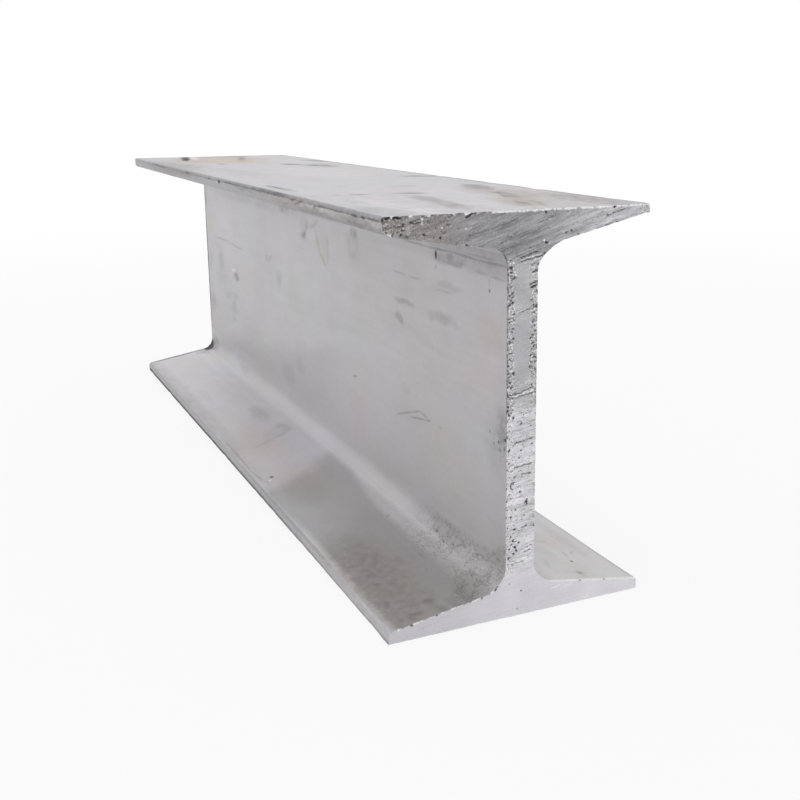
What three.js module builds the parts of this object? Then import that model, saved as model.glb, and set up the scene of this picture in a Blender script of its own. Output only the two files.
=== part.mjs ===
// A short length of hot-rolled steel I-beam, sawn square at both ends.
//
// Millimetres. The beam lies on its bottom flange along +Y, with +Z up. The origin is at the
// middle of the bearing face under the bottom flange, half way along the beam.
//
// The section is the tapered-flange kind: the inner faces of the flanges slope, so each flange
// is thickest at the web and thinnest at its toe. It leaves the rolls as one piece, so the
// whole section is one outline and the whole beam is one solid.

import * as THREE from "three";

// Section
const beamDepth = 101.6;
const flangeWidth = 71.0;
const webThickness = 8.3;
// Measured where a mill states it: half way out along the overhang of the flange.
const flangeThickness = 6.4;
// Rise of the inner face of a flange for each millimetre from toe to web.
const flangeTaper = 1 / 6;

// Rounds left by the rolls
const rootRadius = 5.5;
const toeRadius = 1.6;
const edgeRadius = 0.7;

// Length between the two saw cuts
const beamLength = 305;

// Straight stretches that stand in for a quarter turn of any round.
const segmentsPerRound = 8;

// The twelve corners of the section, counter-clockwise, each with the radius that rounds it.
// x runs across the flanges and y up the web, from the middle of the web.
function sectionCorners() {
  const halfDepth = beamDepth / 2;
  const halfWidth = flangeWidth / 2;
  const halfWeb = webThickness / 2;
  const overhang = halfWidth - halfWeb;
  const taperRise = (flangeTaper * overhang) / 2;
  const toeHeight = halfDepth - (flangeThickness - taperRise);
  const rootHeight = halfDepth - (flangeThickness + taperRise);

  const quarter = [
    { x: halfWeb, y: rootHeight, radius: rootRadius },
    { x: halfWidth, y: toeHeight, radius: toeRadius },
    { x: halfWidth, y: halfDepth, radius: edgeRadius },
  ];
  const mirrored = (corners, signX, signY) =>
    corners.map(({ x, y, radius }) => ({ x: signX * x, y: signY * y, radius }));
  const backwards = [...quarter].reverse();

  return [
    ...quarter,
    ...mirrored(backwards, -1, 1),
    ...mirrored(quarter, -1, -1),
    ...mirrored(backwards, 1, -1),
  ];
}

// A closed outline through the corners, in which each corner is an arc of its own radius that
// meets both of its straight sides.
function roundedOutline(corners) {
  const outline = new THREE.Shape();
  corners.forEach((corner, index) => {
    const before = corners[(index + corners.length - 1) % corners.length];
    const after = corners[(index + 1) % corners.length];
    const tip = new THREE.Vector2(corner.x, corner.y);
    const towardsBefore = new THREE.Vector2(before.x, before.y).sub(tip).normalize();
    const towardsAfter = new THREE.Vector2(after.x, after.y).sub(tip).normalize();

    const halfAngle = Math.acos(towardsBefore.dot(towardsAfter)) / 2;
    const tangentLength = corner.radius / Math.tan(halfAngle);
    const bisector = towardsBefore.clone().add(towardsAfter).normalize();
    const centre = tip.clone().addScaledVector(bisector, corner.radius / Math.sin(halfAngle));

    const start = tip.clone().addScaledVector(towardsBefore, tangentLength).sub(centre);
    const end = tip.clone().addScaledVector(towardsAfter, tangentLength).sub(centre);
    const turnsRight = towardsBefore.cross(towardsAfter) > 0;
    outline.absarc(centre.x, centre.y, corner.radius, start.angle(), end.angle(), turnsRight);
  });
  outline.closePath();
  return outline;
}

// The rolled length: the section drawn out along the beam.
function rolledBar() {
  return new THREE.ExtrudeGeometry(roundedOutline(sectionCorners()), {
    depth: beamLength,
    bevelEnabled: false,
    steps: 1,
    // An arc of a Shape is drawn with twice this many stretches.
    curveSegments: segmentsPerRound / 2,
  });
}

// Pickled steel: pale grey with a soft sheen.
const pickledSteel = new THREE.MeshStandardMaterial({
  color: new THREE.Color().setRGB(0.72, 0.71, 0.72, THREE.SRGBColorSpace),
  roughness: 0.5,
  metalness: 0.9,
});

const iBeam = new THREE.Mesh(rolledBar(), pickledSteel);
iBeam.name = "i_beam";
// The section is drawn in a plane that stands upright across the beam.
iBeam.rotation.x = Math.PI / 2;
iBeam.position.set(0, beamLength / 2, beamDepth / 2);

const beam = new THREE.Group();
beam.add(iBeam);

export default beam;
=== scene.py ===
"""A sawn length of rolled steel I-beam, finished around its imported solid.

The file is laid out as an add-on and is run as a script. The rolled bar is one closed mesh with
its mill skin and its sawn ends modelled in relief, and it stands for the plain solid.

Lengths in the code are millimetres in the frame of the solid: x runs across the flanges, y along
the beam and z up the web. They turn into metres where the beam's mesh or the camera is made. Only
the floor and the lamps are set out in metres.
"""

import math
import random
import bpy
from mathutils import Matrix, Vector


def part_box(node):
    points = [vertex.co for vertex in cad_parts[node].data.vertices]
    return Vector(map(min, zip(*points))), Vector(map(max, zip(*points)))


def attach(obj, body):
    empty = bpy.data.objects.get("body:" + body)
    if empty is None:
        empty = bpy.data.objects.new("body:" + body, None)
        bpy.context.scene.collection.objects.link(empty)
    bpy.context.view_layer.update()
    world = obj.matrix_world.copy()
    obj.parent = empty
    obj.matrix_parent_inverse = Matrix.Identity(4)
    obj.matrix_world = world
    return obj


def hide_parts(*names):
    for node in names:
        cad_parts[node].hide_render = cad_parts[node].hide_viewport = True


bl_info = {
    "name": "Rolled steel beam",
    "version": (1, 0, 0),
    "blender": (4, 5, 0),
    "location": "3D View > Sidebar > Beam",
    "description": "Finishes a sawn length of rolled steel I-beam and sets the stage it stands on",
    "category": "Object",
}

from typing import NamedTuple

import bpy
import numpy as np
from mathutils import Matrix, Vector
from mathutils.geometry import delaunay_2d_cdt
from mathutils.noise import noise

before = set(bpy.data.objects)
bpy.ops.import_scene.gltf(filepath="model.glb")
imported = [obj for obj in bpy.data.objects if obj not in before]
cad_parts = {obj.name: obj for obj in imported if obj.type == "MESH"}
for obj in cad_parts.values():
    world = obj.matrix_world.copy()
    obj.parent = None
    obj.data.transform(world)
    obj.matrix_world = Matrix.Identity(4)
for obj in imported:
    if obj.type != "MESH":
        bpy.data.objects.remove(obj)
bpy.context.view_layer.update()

MM = 0.001
SOLID_LOW, SOLID_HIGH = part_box("i_beam")
BEAM_WIDTH, BEAM_LENGTH, BEAM_DEPTH = (SOLID_HIGH - SOLID_LOW) / MM
HALF_LENGTH = BEAM_LENGTH / 2
HALF_WIDTH = BEAM_WIDTH / 2

# ---------------------------------------------------------------------------------------------
# What a user would change
# ---------------------------------------------------------------------------------------------


def length_property(name, description, millimetres):
    return bpy.props.FloatProperty(
        name=name, description=description, default=millimetres * MM, min=0.0, precision=5,
        unit="LENGTH",
    )


def share_property(name, description, default):
    return bpy.props.FloatProperty(
        name=name, description=description, default=default, min=0.0, max=1.0, subtype="FACTOR"
    )


def colour_property(name, description, default):
    return bpy.props.FloatVectorProperty(
        name=name, description=description, default=default, size=3, min=0.0, max=1.0,
        subtype="COLOR",
    )


class BeamSizes(bpy.types.PropertyGroup):
    """Sizes of the rolled section; its width, depth and length are the solid's"""

    web_thickness: length_property("Web thickness", "Thickness of the web", 8.3)
    flange_thickness: length_property(
        "Flange thickness", "Thickness of a flange half way out along its overhang", 6.4
    )
    flange_taper: share_property(
        "Flange taper", "Rise of a flange's inner face for each unit from toe to web", 1 / 6
    )
    root_radius: length_property("Root radius", "Fillet between web and flange", 5.5)
    toe_radius: length_property("Toe radius", "Round on the inner edge of a toe", 1.6)
    edge_radius: length_property("Edge radius", "Round on the outer edge of a toe", 0.7)


class SteelFinish(bpy.types.PropertyGroup):
    """How worn the skin is and how rough the saw left the ends"""

    waviness: length_property("Waviness", "Depth of the slow waves in the rolled skin", 0.10)
    edge_wear: length_property("Edge wear", "Depth of the nicks along the toes", 0.30)
    saw_grooves: length_property("Saw grooves", "Depth of the grooves across a sawn end", 0.16)
    pit_depth: length_property("Pit depth", "Depth of the pits torn out of a sawn end", 0.55)
    rolled_colour: colour_property(
        "Rolled skin", "Colour of the pickled mill skin", (0.622, 0.608, 0.638)
    )
    dull_colour: colour_property(
        "Dull skin", "Colour of the duller skin at the near foot", (0.545, 0.539, 0.535)
    )
    sawn_colour: colour_property(
        "Sawn face", "Colour of the bare metal of a sawn end", (0.742, 0.728, 0.766)
    )
    # Burrs, glints and the bright rim are painted in this colour as a painted highlight.
    burr_colour: colour_property("Burr", "Colour of bright torn metal", (0.960, 0.960, 0.970))
    # The inside of a pit, and the dark specks of a sawn end, are painted this dark as painted
    # shade.
    pit_colour: colour_property("Pit", "Colour of the inside of a pit", (0.060, 0.058, 0.060))
    # The smudges, and the painted shade among the marks and along the rims, blend towards this
    # colour.
    dirt_colour: colour_property("Dirt", "Colour of the smudges", (0.085, 0.080, 0.080))
    stain_colour: colour_property(
        "Stain", "Tint that the warm stains lay over the steel", (0.880, 0.790, 0.690)
    )
    metallic: share_property("Metallic", "Share of bare metal in the skin", 0.35)
    roughness: share_property("Roughness", "Roughness of the rolled skin", 0.50)


class StageSettings(bpy.types.PropertyGroup):
    """Light, floor and camera"""

    floor_colour: colour_property("Floor", "Colour of the floor", (0.90, 0.90, 0.90))
    room_light: bpy.props.FloatProperty(
        name="Room light", description="Strength of the even light all round", default=0.62, min=0.0
    )
    overhead_light: bpy.props.FloatProperty(
        name="Overhead light", description="Power of the soft lamp above", default=5.8, min=0.0,
        unit="POWER",
    )
    side_light: bpy.props.FloatProperty(
        name="Side light", description="Power of the soft lamp at the open end", default=1.8,
        min=0.0, unit="POWER",
    )


# ---------------------------------------------------------------------------------------------
# The rolled section
# ---------------------------------------------------------------------------------------------


class Station(NamedTuple):
    """A point of the section's outline and the outward direction there."""

    x: float
    z: float
    out_x: float
    out_z: float


REGIONS = ("top", "toe", "web", "foot", "plain")

# How far a toe's region reaches in from its face, and the top's region down from the top.
TOE_REACH = 1.1
TOP_REACH = 1.0

# A face is upright where its outward direction leans at least this far sideways.
UPRIGHT = 0.7


def region_of(station):
    """The region of the skin that a station lies on, each of which has a finish of its own."""
    if abs(station.x) > HALF_WIDTH - TOE_REACH:
        return "toe"
    if station.z > BEAM_DEPTH - TOP_REACH:
        return "top"
    if abs(station.out_x) > UPRIGHT:
        return "web"
    return "foot" if station.out_z > 0 else "plain"


# Fine stations to each coarse one: the mesh halves its spacing twice on its way to a sawn end.
FINE_TO_COARSE = 4
COARSE_SPACING = 1.6
ROUND_SPACING = 1.35
FEWEST_ON_A_ROUND = 3


def section_corners(sizes):
    """The section's twelve corners, counter-clockwise from the near end, each with its radius."""
    half_web = sizes.web_thickness / MM / 2
    mean = sizes.flange_thickness / MM
    drop = sizes.flange_taper * (HALF_WIDTH - half_web) / 2
    half_depth = BEAM_DEPTH / 2
    quarter = [
        (half_web, half_depth - mean - drop, sizes.root_radius / MM),
        (HALF_WIDTH, half_depth - mean + drop, sizes.toe_radius / MM),
        (HALF_WIDTH, half_depth, sizes.edge_radius / MM),
    ]
    corners = []
    for sign_x, sign_z, order in ((1, 1, 1), (-1, 1, -1), (-1, -1, 1), (1, -1, -1)):
        corners += [
            (Vector((sign_x * x, half_depth + sign_z * z)), radius)
            for x, z, radius in quarter[::order]
        ]
    return corners


def rounded_outline(corners):
    """Stations round the section, each corner an arc that meets both of its straight sides."""
    arcs = []
    for index, (tip, radius) in enumerate(corners):
        to_before = (corners[index - 1][0] - tip).normalized()
        to_after = (corners[(index + 1) % len(corners)][0] - tip).normalized()
        half_angle = to_before.angle(to_after) / 2
        reach = radius / math.tan(half_angle)
        centre = tip + (to_before + to_after).normalized() * radius / math.sin(half_angle)
        spoke = tip + to_before * reach - centre
        last = tip + to_after * reach - centre
        sweep = math.atan2(spoke.cross(last), spoke.dot(last))
        steps = max(FEWEST_ON_A_ROUND, round(abs(sweep) * radius / ROUND_SPACING))
        steps *= FINE_TO_COARSE
        turned = [Matrix.Rotation(sweep * step / steps, 2) @ spoke for step in range(steps + 1)]
        arcs.append([centre + arm for arm in turned])

    points = []
    for index, arc in enumerate(arcs):
        points += arc[:-1]
        start = arc[-1]
        stretch = arcs[(index + 1) % len(arcs)][0] - start
        steps = max(1, round(stretch.length / COARSE_SPACING)) * FINE_TO_COARSE
        points += [start + stretch * step / steps for step in range(steps)]

    stations = []
    for index, point in enumerate(points):
        ahead = (points[(index + 1) % len(points)] - points[index - 1]).normalized()
        stations.append(Station(point.x, point.y, ahead.y, -ahead.x))
    return stations


# ---------------------------------------------------------------------------------------------
# Relief of the rolled skin and of the sawn ends
# ---------------------------------------------------------------------------------------------


def ease(value, start, end):
    """0 before start, 1 past end and a smooth rise between; start may be the larger."""
    share = min(1.0, max(0.0, (value - start) / (end - start)))
    return share * share * (3 - 2 * share)


def uneven(x, y, z=0.0):
    """Smooth noise from about -1 to 1 whose waves are about one unit long."""
    return noise(Vector((x, y, z)))


def flange_thickness_at(sizes, x):
    """How thick a flange truly is at a place across the section."""
    half_web = sizes.web_thickness / MM / 2
    middle = (HALF_WIDTH + half_web) / 2
    return sizes.flange_thickness / MM + sizes.flange_taper * (middle - abs(x))


# The bar is a little off true towards its near end. Its top flange is heavy on the left half and
# thins away on the right to a square-edged toe, the heavy toe is rounded below, the foot is thin,
# and the root on the right is filled out. The edges of the foot are nearly square too. All of it
# fades out between these distances from the end.
OFF_TRUE_LENGTH = (6, 62)
# The share of the depth, from its outer face, within which a flange lies.
FLANGE_SHARE = 0.16
# What a flange gains or loses in thickness, and how far out from the web it does so.
HEAVY_HALF_GAIN = 0.60
HEAVY_HALF = (4, 16)
THIN_HALF_LOSS = 1.65
THIN_HALF_START = 9
LEFT_FOOT_LOSS = 0.65
RIGHT_FOOT_LOSS = 0.50
THIN_FOOT = (5, 10)
# How much a corner is filled out or worn away, where it is, and how far round it this reaches.
ROOT_FILL = 0.95
FILLED_ROOT = (6.3, 91.9)
FILLED_ROOT_REACH = (0.5, 5.2)
WORN_CORNER_LOSS = 0.42
WORN_CORNER = (-35.2, 98.0)
WORN_CORNER_REACH = (0.3, 2.9)
# How nearly the squared edges are square: 0 leaves them round and 1 makes them sharp.
SQUARED = 0.9


def off_true(sizes, station, along):
    """How far a station stands out, and how far up, from its true place."""
    x, z = station.x, station.z
    share = 1 - ease(along, *OFF_TRUE_LENGTH)
    out = ROOT_FILL * (1 - ease(math.dist((x, z), FILLED_ROOT), *FILLED_ROOT_REACH))
    out -= WORN_CORNER_LOSS * (1 - ease(math.dist((x, z), WORN_CORNER), *WORN_CORNER_REACH))
    thin_toe = x > HALF_WIDTH - sizes.toe_radius / MM and z > BEAM_DEPTH / 2
    radius = sizes.edge_radius / MM
    if thin_toe and station.out_z < 0:
        radius = sizes.toe_radius / MM
    if thin_toe or z < radius:
        out += SQUARED * radius * (1 / max(abs(station.out_x), abs(station.out_z)) - 1)
    up = 0.0
    level = z + out * station.out_z
    thickness = flange_thickness_at(sizes, x)
    if z > BEAM_DEPTH * (1 - FLANGE_SHARE):
        change = HEAVY_HALF_GAIN * ease(-x, *HEAVY_HALF)
        change -= THIN_HALF_LOSS * max(0.0, x - THIN_HALF_START) / (HALF_WIDTH - THIN_HALF_START)
        up = -change * min(1.0, (BEAM_DEPTH - level) / thickness)
    elif z < BEAM_DEPTH * FLANGE_SHARE:
        change = LEFT_FOOT_LOSS * ease(-x, *THIN_FOOT) + RIGHT_FOOT_LOSS * ease(x, *THIN_FOOT)
        up = -change * min(1.0, level / thickness)
    return share * out, share * up


# How deep the crumbled scale is, and the size of its grains.
SCALE_DEPTH = 0.10
SCALE_SIZE = 3.4


def skin_depth(finish, station, along):
    """How far the rolled skin lies under its true surface."""
    x, z = station.x, station.z
    wave = uneven(x / 60, along / 80, z / 60)
    ripple = uneven(x / 14, along / 26, z / 14 + 9)
    depth = finish.waviness / MM * (0.42 + 0.45 * wave + 0.22 * ripple)
    # Nicks along the toes, others on the right than on the left.
    toe = ease(abs(x), HALF_WIDTH - 2.2, HALF_WIDTH - 0.3)
    if toe:
        side = 3.7 if x > 0 else 8.1
        bump = uneven(side, along / 7, z / 30) + 0.5 * uneven(side, along / 2.3, z / 4)
        depth += toe * finish.edge_wear / MM * max(0.0, bump - 0.12)
    # Crumbled scale by the left root, near the end.
    scaly = ease(along, 60, 30) * ease(x, -3, -5) * ease(x, -18, -13) * ease(z, 24, 18)
    if scaly:
        grains = uneven(x / SCALE_SIZE, along / SCALE_SIZE, z / SCALE_SIZE)
        depth += SCALE_DEPTH * scaly * (0.5 + grains)
    return max(0.0, depth)


class Nick(NamedTuple):
    """A flaw of a sawn end, drawn from one point to another; of negative depth, a burr that
    stands a little proud and is painted bright as a highlight.
    """

    x: float
    z: float
    to_x: float
    to_z: float
    radius: float
    depth: float


def spots(radius, depth, *places):
    """Round flaws of one size."""
    return [Nick(x, z, x, z, radius, depth) for x, z in places]


def score(radius, depth, *places):
    """One flaw drawn through several points."""
    return [Nick(*start, *end, radius, depth) for start, end in zip(places, places[1:])]


# The flaws of the near end that stand apart from the scattered ones. Those of negative depth
# are burrs painted bright as highlights.
NEAR_NICKS = [
    # Top flange, left half
    *score(0.24, 1.0, (-34.4, 101.0), (-33.5, 101.2)),
    *score(0.26, 1.0, (-32.4, 100.9), (-31.9, 101.4), (-31.2, 100.9), (-30.6, 101.1)),
    *score(0.32, 1.0, (-35.3, 101.2), (-35.2, 100.4)),
    *spots(0.34, 1.0, (-35.2, 99.2), (-34.9, 98.5)),
    *score(0.28, 0.7, (-28.2, 99.9), (-27.2, 99.6), (-26, 99.8)),
    *score(0.30, 0.9, (-14.6, 100.5), (-13.2, 101.1)),
    *score(0.40, 0.38, (-14, 96), (-7.5, 97.6), (-1.2, 99.5)),
    *score(0.22, 0.5, (-31, 99.0), (-29.3, 99.3)),
    *spots(0.34, 1.0, (-30, 99.7), (-30.4, 98.3), (-30.7, 97.35), (-25, 97.05), (-21, 96.15)),
    *spots(0.32, 0.9, (-22.6, 96.25), (-21.9, 94.95), (-14.7, 94.2), (-12.3, 93.4)),
    *spots(0.30, 0.9, (-18.2, 101.2), (-17.3, 101.5), (-13.4, 101.2), (-12.3, 101.2)),
    *spots(0.34, -0.7, (-20.7, 98.4), (-15, 97.9), (-4.2, 88.9), (-2.2, 87.3), (-2.4, 89.2)),
    *score(0.32, -1.0, (-14.8, 101.1), (-13.4, 101.45)),
    *score(0.55, -0.45, (-25.5, 99.5), (-25.6, 101)),
    *score(0.30, -0.4, (-34.8, 98.0), (-34.0, 97.2), (-33.2, 96.8)),
    *spots(0.55, 1.0, (-3.0, 88.2)),
    # Top flange, right half, and the root below it
    *spots(0.40, 1.0, (6.1, 100.75), (6.4, 93.6)),
    *spots(0.32, 0.9, (5.9, 91.05), (5.1, 89.4), (11.9, 95.7), (13.2, 95.9), (4.0, 86.9)),
    *spots(0.28, 0.8, (15.1, 95.1), (24.8, 101.2), (25.6, 100.1), (34.6, 101.0)),
    *spots(0.40, 1.0, (25.2, 101.3)),
    *spots(0.26, -0.6, (12.5, 96.1), (23.6, 99.6)),
    *score(0.22, 0.6, (22.8, 99.1), (26, 100), (29, 100.6)),
    *spots(0.34, -0.8, (7.1, 93.3), (5.7, 94.2)),
    *score(0.26, 0.50, (-0.5, 90.4), (4.2, 91.7)),
    *score(0.24, -0.50, (-0.5, 89.9), (4.8, 91.1)),
    *score(0.26, 0.55, (-0.5, 89.4), (5.2, 90.6)),
    *score(0.24, -0.45, (0.5, 89.1), (4.8, 90.1)),
    # Upper web
    *spots(0.42, 1.0, (-2.8, 87), (-2.6, 82.2), (-2.5, 79.9), (-3.1, 66.3), (-2.2, 62.8)),
    *spots(0.36, 0.9, (-3.4, 81.6), (-3.1, 79.5), (-3.6, 64.7), (-3.2, 60.6), (-2.8, 59.3)),
    *spots(0.40, 1.0, (-3.6, 54.7), (-3.3, 52.7), (-3.9, 53.6), (-2.1, 51.8), (-3.9, 48.2)),
    *spots(0.55, 1.0, (-4.0, 47.2), (-3.1, 43.6), (-4.0, 34)),
    *score(0.30, 0.9, (2.5, 83.2), (3.7, 83.6)),
    *score(0.30, 0.9, (2.3, 84.0), (3.3, 84.4)),
    *spots(0.34, 0.95, (3.4, 74), (3.6, 72.8), (2.5, 71), (3.2, 68.9), (2.3, 64.1)),
    *spots(0.34, 0.9, (2.8, 62.8), (3, 61.7), (3.2, 44.7)),
    *score(0.28, 0.5, (-1, 77.3), (3.7, 78.5)),
    *score(0.24, 0.45, (1.3, 78.1), (3.8, 79)),
    *score(0.30, 0.55, (-3.7, 57.4), (0, 57.8), (3.3, 59)),
    *score(0.26, 0.45, (-1.5, 56.7), (3.7, 57.6)),
    *score(0.24, -0.6, (-2.5, 57.0), (3.5, 58.3)),
    *spots(0.30, 0.8, (1, 58.3)),
    # Lower web
    *spots(0.40, 0.9, (0.2, 50.1), (0.2, 43.3), (-0.3, 41.6), (0, 32.7), (-1.2, 28.3)),
    *score(0.28, 0.6, (-1.4, 45.3), (3.3, 46.2)),
    *score(0.28, 0.6, (-1.6, 39.1), (3, 39.7)),
    *score(0.26, -0.8, (-1.6, 39.8), (3, 40.4)),
    *score(0.26, 0.55, (0.2, 37.1), (3, 37.4)),
    *score(0.26, 0.7, (-1.4, 35.5), (-2.4, 35.2), (-2.7, 34.1), (-1.9, 33.5)),
    *spots(0.36, 0.9, (-1.9, 34.8)),
    *score(0.30, 0.9, (1.9, 30.6), (1.9, 29.0)),
    *spots(0.36, 0.95, (-2.4, 26.4), (1.8, 23.6), (-1.5, 23.1), (-2.5, 21.3), (2.4, 18)),
    *spots(0.50, 1.0, (-2.3, 19.3), (-1.3, 18.4), (-0.9, 17.5), (-1.7, 16.8)),
    *spots(0.40, 1.0, (-0.3, 19.4), (-2.9, 15.8), (-2.9, 18.2), (-1.9, 20.2)),
    *score(0.26, -0.7, (-3.2, 14.4), (0, 14.9), (3.8, 15.8)),
    *score(0.26, 0.45, (-3.2, 13.8), (0, 14.3), (3.8, 15.2)),
    # Foot
    *spots(0.28, 0.75, (-2, 11.7), (-2.7, 8.8), (0.7, 6.4), (-0.3, 1.8)),
    *spots(0.46, 1.0, (-10.4, 6.7), (-22.6, 4.9), (-29.4, 3.8), (-6.6, 8.2)),
    *spots(0.34, 0.8, (-13.6, 6.5), (-15.2, 6.3), (-19.3, 5.6), (-25.8, 4.6), (-8.2, 7.6)),
    *spots(0.36, -0.9, (-12.3, 6.5), (-17.1, 5.9), (-20.8, 5.3), (-24.2, 4.8), (-27.6, 4.3)),
    *spots(0.42, 1.0, (18.1, 5.7), (25.4, 4.6)),
    *spots(0.34, 0.8, (13.4, 6.8), (31.8, 3.7)),
    *spots(0.42, -1.0, (14.2, 6.9), (-11.6, 6.9)),
    *score(0.30, -0.45, (9.3, 5.2), (11.6, 5.7)),
    *score(0.30, -0.45, (13, 4.8), (15.3, 5.4)),
    *score(0.30, -0.6, (18.4, 0.6), (20.6, 1.1)),
]


class NickField(NamedTuple):
    """A stretch of a sawn end with scattered flaws. Each is torn by up to so many of its radii and
    has a burr beside it, painted bright as a highlight, that is so many times as strong as the
    flaw."""

    left: float
    right: float
    low: float
    high: float
    count: int
    radius: float
    depth: float
    torn: float
    burr: float


NICK_FIELDS = (
    # The heavy toe of the top flange, where the blade came in.
    NickField(-35.4, -29.5, 96.8, 101.6, 62, 0.22, 0.62, 2.4, 0.6),
    NickField(-30.0, -18.0, 94.5, 101.6, 62, 0.20, 0.55, 3.0, 0.7),
    NickField(-20.0, 30.0, 89.5, 101.6, 90, 0.20, 0.45, 4.0, 1.0),
    # Both edges of the web.
    NickField(-4.2, -2.2, 54.0, 90.0, 90, 0.28, 0.8, 2.0, 1.0),
    NickField(-4.2, -1.8, 12.0, 54.0, 34, 0.26, 0.6, 2.0, 1.0),
    NickField(2.4, 4.2, 56.0, 90.0, 70, 0.26, 0.8, 2.0, 1.0),
    NickField(2.8, 4.2, 12.0, 56.0, 20, 0.24, 0.6, 2.0, 1.0),
    # The lower half of the web, right across.
    NickField(-4.0, 3.4, 13.0, 54.0, 60, 0.20, 0.6, 6.0, 1.0),
    # The thin right half of the top flange.
    NickField(9.0, 34.8, 95.0, 101.4, 110, 0.17, 0.40, 4.0, 0.8),
    NickField(31.5, 35.2, 98.4, 101.5, 26, 0.20, 0.50, 1.5, 0.8),
)


# A scattered flaw is torn upwards at this rise. Its burr lies this many of the flaw's radii away
# and has this share of its radius.
TEAR_RISE = 0.25
BURR_AWAY = 1.9
BURR_SIZE = 0.7


def scattered_nicks(seed):
    """Flaws at random places, each torn a little along the cut and with a burr beside it, painted
    bright as a highlight.
    """
    dice = random.Random(seed)
    nicks = []
    for field in NICK_FIELDS:
        for _ in range(field.count):
            x = dice.uniform(field.left, field.right)
            z = dice.uniform(field.low, field.high)
            radius = field.radius * dice.uniform(0.6, 1.4)
            depth = field.depth * dice.uniform(0.4, 1.0)
            torn = radius * dice.uniform(0.0, field.torn)
            rise = TEAR_RISE * torn
            nicks.append(Nick(x, z, x + torn, z + rise, radius, depth))
            turn = dice.uniform(0, math.tau)
            x += BURR_AWAY * radius * math.cos(turn)
            z += BURR_AWAY * radius * math.sin(turn)
            burr = -field.burr * depth
            nicks.append(Nick(x, z, x + torn, z + rise, BURR_SIZE * radius, burr))
    return nicks


# A flaw is deepest at its middle and fades out this many of its radii away.
FLAW_REACH = 1.12

# How far the outlines of the flaws are pushed about, and over what length.
FLAW_PUSH = 0.32
TORN_SIZE = 0.8


def flaw_shares(points, nicks):
    """For each point, the share of the deepest pit over it and of the brightest burr, which is
    painted as a highlight.
    """
    pushes = [
        [uneven(x / TORN_SIZE, z / TORN_SIZE, layer) for layer in (11, 17)] for x, z in points
    ]
    pushed = points + FLAW_PUSH * np.array(pushes)
    pits, burrs = np.zeros(len(points)), np.zeros(len(points))
    for nick in nicks:
        start = np.array((nick.x, nick.z))
        reach = np.array((nick.to_x, nick.to_z)) - start
        length = math.hypot(*reach)
        about = np.flatnonzero(
            np.abs(pushed - start - reach / 2).max(axis=1) < length / 2 + FLAW_REACH * nick.radius
        )
        gap = pushed[about] - start
        # A round flaw has no length, and is measured from its start alone.
        share = np.clip(gap @ reach / max(1e-9, length * length), 0, 1)
        gap = gap - share[:, None] * reach
        near = np.clip(FLAW_REACH - np.hypot(gap[:, 0], gap[:, 1]) / nick.radius, 0, 1)
        found = burrs if nick.depth < 0 else pits
        strength = abs(nick.depth) * near * near * (3 - 2 * near)
        found[about] = np.maximum(found[about], strength)
    return pits, burrs


# The blade swung as it came down: its lines rise to the right across the top flange and lie
# nearly level by the foot of the web.
SAW_SLOPE_LOW = 0.11
SAW_SLOPE_HIGH = 0.31
SAW_SWING = (42, 80)


def saw_lines(x, z):
    """The two coordinates of a point among the saw's lines: across them and along them."""
    slope = SAW_SLOPE_LOW + (SAW_SLOPE_HIGH - SAW_SLOPE_LOW) * ease(z, *SAW_SWING)
    return z - slope * x, x + slope * z


def between(value, start, end, soft):
    """1 from start to end and 0 outside, with soft edges."""
    return ease(value, start - soft, start + soft) * ease(value, end + soft, end - soft)


# Heights between which a sawn end changes: half way up the web, and under the top flange.
WEB_MIDDLE = (53, 59)
UNDER_TOP_FLANGE = (87, 91)


def saw_strength(x, z):
    """How deep the saw's lines are at a point of an end, from 0 to 1: deepest across the top
    flange and faintest on the foot."""
    smoother = between(x, -22, -15, 1) * between(z, 94.5, 99, 0.7)
    top = ease(z, *UNDER_TOP_FLANGE) * (1 - 0.6 * smoother)
    foot = 0.10 * (1 - ease(z, 9, 13))
    upper = ease(z, *WEB_MIDDLE)
    web_low = 0.75 * ease(z, 9, 15) * (1 - upper)
    lines = between(z, 57, 61, 0.7) + between(z, 76, 79, 0.7)
    web_high = (0.16 + 0.6 * lines) * upper * ease(z, *UNDER_TOP_FLANGE[::-1])
    return top + foot + web_low + web_high


def groove(x, z):
    """Height of the saw's grooves at a point of an end, from about -1 to 1."""
    across, along = saw_lines(x, z)
    fine = uneven(across / 0.55, along / 6, 1)
    band = uneven(across / 1.5, along / 18, 5)
    broad = uneven(across / 4.2, along / 30, 8)
    return 0.75 * fine + 0.6 * band + 0.35 * broad


def sawn_tone(x, z):
    """Brightness of a sawn end by place: dark at the top flange's left half, light at the foot."""
    foot = 1.02 + 0.06 * ease(x, 4, 20) - 0.15 * ease(-x, 4, 25)
    web = 0.98 - 0.29 * ease(z, 46, 60)
    top = 0.43 + 0.39 * ease(x, 0, 30) - 0.03 * ease(x, -26, -32)
    tone = foot + (web - foot) * ease(z, 9, 14)
    tone += (top - tone) * ease(z, 88.5, 91.5)
    return tone * (1 + (0.05 + 0.09 * ease(z, 9, 14)) * uneven(x / 5, z / 5, 21))


def speckled(x, z):
    """How speckled with torn metal a sawn end is at a point, from 0 to 1."""
    web_left = ease(x, -1.4, -2.5) * between(z, 12, 90, 1.5) * ease(x, -7, -5)
    web_right = ease(x, 1.7, 2.8) * between(z, 57, 90, 2) * ease(x, 7, 5)
    return max(web_left, web_right, 0.35 * ease(x, -25, -31) * ease(z, 95, 97))


# How far a sawn end lies behind the solid's end, and how much it swells, is torn and stands proud
# in its burrs.
SAWN_DEPTH = 0.20
SAWN_SWELL = 0.07
TORN_DEPTH = 0.06
BURR_HEIGHT = 0.10


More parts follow.
